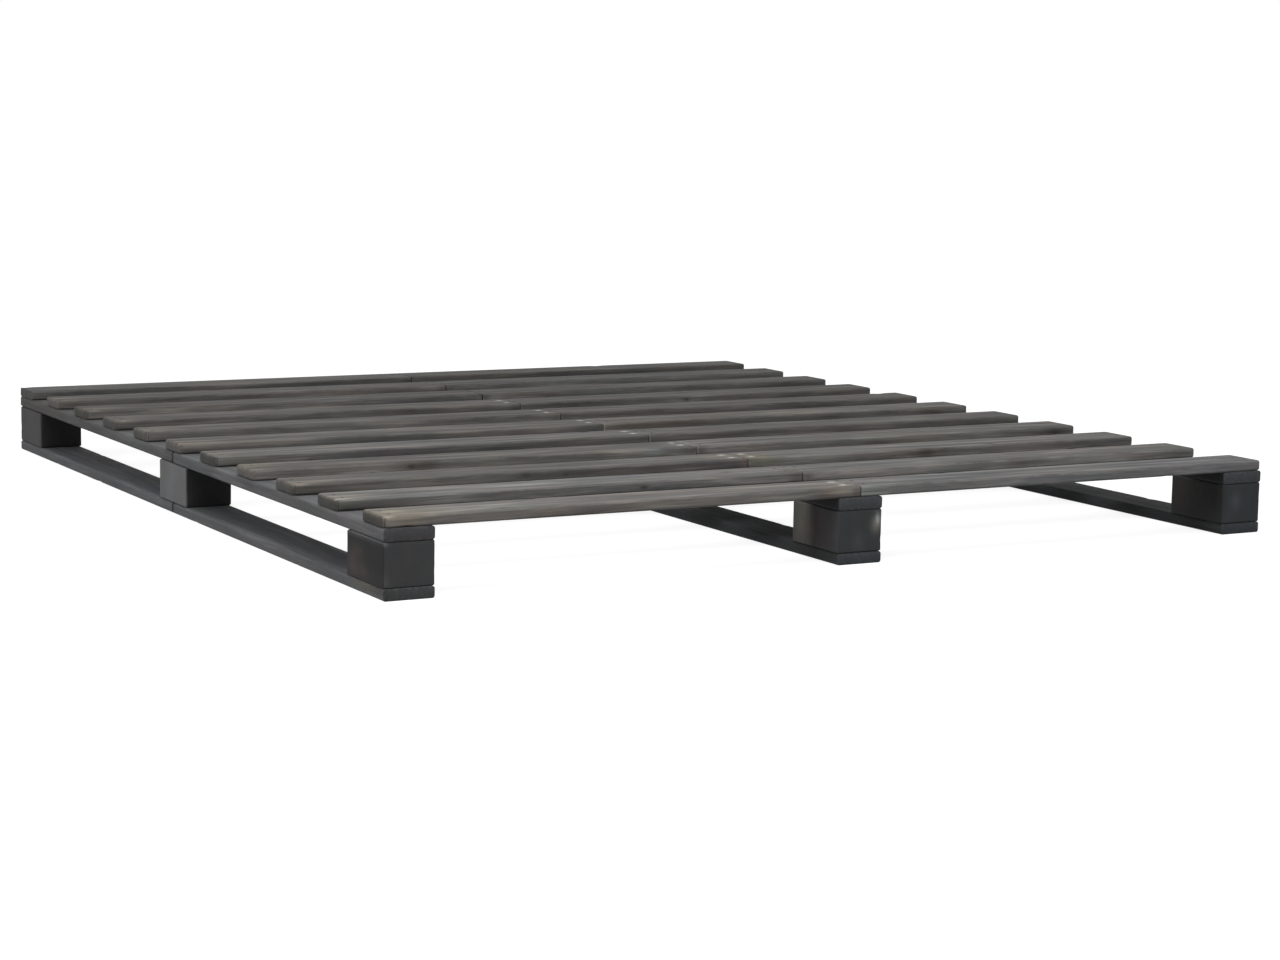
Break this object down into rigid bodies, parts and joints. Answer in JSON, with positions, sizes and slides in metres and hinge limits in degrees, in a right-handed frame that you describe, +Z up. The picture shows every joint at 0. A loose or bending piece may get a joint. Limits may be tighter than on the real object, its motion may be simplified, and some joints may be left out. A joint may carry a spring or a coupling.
{
  "type": "pallet bed",
  "caption": "Low slatted double bed base of stained softwood: slats screwed across block-and-board skids, open underneath.",
  "frame": {"origin": "on the floor under the middle of the bed", "axes": "+X along the slats to the right, +Y along the skids to the back, +Z up; the front faces -Y"},
  "size_m": [1.8, 2, 0.1369],
  "materials": {
    "slat_pine": "planed pine, grey stain, satin to matte",
    "board_pine": "planed pine, darker cool grey stain, satin to matte",
    "block_pine": "sawn pine block, dark grey-brown stain, matte",
    "zinc_steel": "zinc plated steel screw, satin"
  },
  "bodies": {
    "root": {"slat_01_left": "slat_pine", "slat_01_right": "slat_pine", "slat_02_left": "slat_pine", "slat_02_right": "slat_pine", "slat_03_left": "slat_pine", "slat_03_right": "slat_pine", "slat_04_left": "slat_pine", "slat_04_right": "slat_pine", "slat_05_left": "slat_pine", "slat_05_right": "slat_pine", "slat_06_left": "slat_pine", "slat_06_right": "slat_pine", "slat_07_left": "slat_pine", "slat_07_right": "slat_pine", "slat_08_left": "slat_pine", "slat_08_right": "slat_pine", "slat_09_left": "slat_pine", "slat_09_right": "slat_pine", "slat_10_left": "slat_pine", "slat_10_right": "slat_pine", "slat_11_left": "slat_pine", "slat_11_right": "slat_pine", "bottom_board_left_front": "board_pine", "bottom_board_left_back": "board_pine", "bottom_board_middle_front": "board_pine", "bottom_board_middle_back": "board_pine", "bottom_board_right_front": "board_pine", "bottom_board_right_back": "board_pine", "top_board_left_front": "board_pine", "top_board_left_back": "board_pine", "top_board_middle_front": "board_pine", "top_board_middle_back": "board_pine", "top_board_right_front": "board_pine", "top_board_right_back": "board_pine", "block_left_front": "block_pine", "block_left_middle": "block_pine", "block_left_back": "block_pine", "block_middle_front": "block_pine", "block_middle_middle": "block_pine", "block_middle_back": "block_pine", "block_right_front": "block_pine", "block_right_middle": "block_pine", "block_right_back": "block_pine", "skid_screw_left_front_outer": "zinc_steel", "skid_screw_left_front_inner": "zinc_steel", "skid_screw_left_back_outer": "zinc_steel", "skid_screw_left_back_inner": "zinc_steel", "skid_screw_middle_front_outer": "zinc_steel", "skid_screw_middle_front_inner": "zinc_steel", "skid_screw_middle_back_outer": "zinc_steel", "skid_screw_middle_back_inner": "zinc_steel", "skid_screw_right_front_outer": "zinc_steel", "skid_screw_right_front_inner": "zinc_steel", "skid_screw_right_back_outer": "zinc_steel", "skid_screw_right_back_inner": "zinc_steel"}
  },
  "joints": []
}
